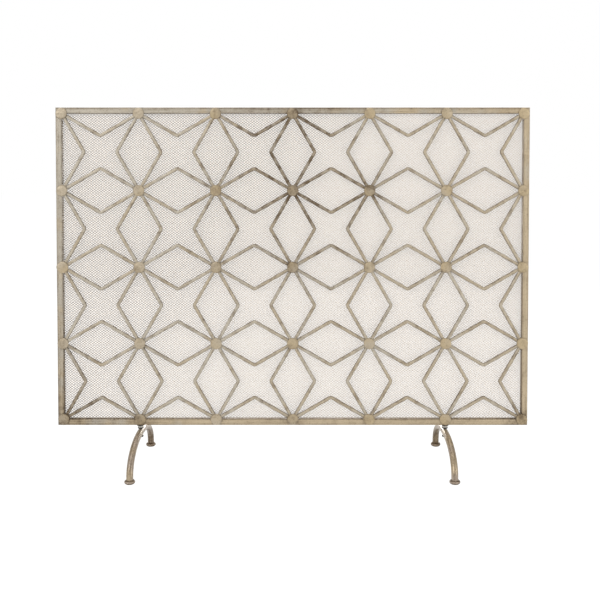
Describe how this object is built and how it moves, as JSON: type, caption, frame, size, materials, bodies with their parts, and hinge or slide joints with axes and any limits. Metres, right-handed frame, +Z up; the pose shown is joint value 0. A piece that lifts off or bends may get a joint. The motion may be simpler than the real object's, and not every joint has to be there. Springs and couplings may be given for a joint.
{
  "type": "fireplace screen",
  "caption": "Flat fireplace screen: square-tube frame, star-pattern bar work with round discs at the crossings and a mesh back, on arched legs that swivel.",
  "frame": {"origin": "on the floor under the middle of the screen: the bottom centre of the bounding box", "axes": "+Z up, +X to the right along the panel as seen from the room, -Y towards the room, so the mesh side is +Y"},
  "size_m": [1.016, 0.2844, 0.7718],
  "materials": {
    "frame_finish": "antique champagne lacquer, lightly brushed, satin",
    "star_finish": "antique champagne lacquer over bronze, rubbed, satin",
    "disc_finish": "antique champagne lacquer on hammered metal, satin",
    "leg_finish": "antique champagne lacquer, brushed lengthwise, satin",
    "foot_finish": "antique champagne lacquer, darker in the groove, satin",
    "mesh_finish": "bronze-grey baked coating, satin",
    "strip_finish": "bronze-grey baked coating, satin",
    "nut_finish": "zinc plated, satin",
    "washer_finish": "black rubber, matte",
    "bolt_finish": "black oxide, satin"
  },
  "bodies": {
    "screen": {"top_rail": "frame_finish", "bottom_rail": "frame_finish", "left_stile": "frame_finish", "right_stile": "frame_finish", "top_strip": "strip_finish", "bottom_strip": "strip_finish", "left_strip": "strip_finish", "right_strip": "strip_finish", "mesh_sheet": "mesh_finish", "star_row_1": "star_finish", "star_row_2": "star_finish", "star_row_3": "star_finish", "star_row_4": "star_finish", "disc_1_1": "disc_finish", "disc_1_2": "disc_finish", "disc_1_3": "disc_finish", "disc_1_4": "disc_finish", "disc_1_5": "disc_finish", "disc_1_6": "disc_finish", "disc_1_7": "disc_finish", "disc_2_1": "disc_finish", "disc_2_2": "disc_finish", "disc_2_3": "disc_finish", "disc_2_4": "disc_finish", "disc_2_5": "disc_finish", "disc_2_6": "disc_finish", "disc_2_7": "disc_finish", "disc_3_1": "disc_finish", "disc_3_2": "disc_finish", "disc_3_3": "disc_finish", "disc_3_4": "disc_finish", "disc_3_5": "disc_finish", "disc_3_6": "disc_finish", "disc_3_7": "disc_finish", "disc_4_1": "disc_finish", "disc_4_2": "disc_finish", "disc_4_3": "disc_finish", "disc_4_4": "disc_finish", "disc_4_5": "disc_finish", "disc_4_6": "disc_finish", "disc_4_7": "disc_finish", "disc_5_1": "disc_finish", "disc_5_2": "disc_finish", "disc_5_3": "disc_finish", "disc_5_4": "disc_finish", "disc_5_5": "disc_finish", "disc_5_6": "disc_finish", "disc_5_7": "disc_finish", "left_leg_nut": "nut_finish", "left_washer": "washer_finish", "left_bolt": "bolt_finish", "right_leg_nut": "nut_finish", "right_washer": "washer_finish", "right_bolt": "bolt_finish"},
    "left_leg": {"left_arch": "leg_finish", "left_front_foot": "foot_finish", "left_rear_foot": "foot_finish"},
    "right_leg": {"right_arch": "leg_finish", "right_front_foot": "foot_finish", "right_rear_foot": "foot_finish"}
  },
  "joints": [
    {"name": "left_leg_swivel", "type": "hinge", "parent": "screen", "child": "left_leg", "pos_m": [-0.3302, 0, 0.07035], "axis": [0, 0, 1], "range_deg": [-90, 90]},
    {"name": "right_leg_swivel", "type": "hinge", "parent": "screen", "child": "right_leg", "pos_m": [0.3302, 0, 0.07035], "axis": [0, 0, 1], "range_deg": [-90, 90]}
  ]
}
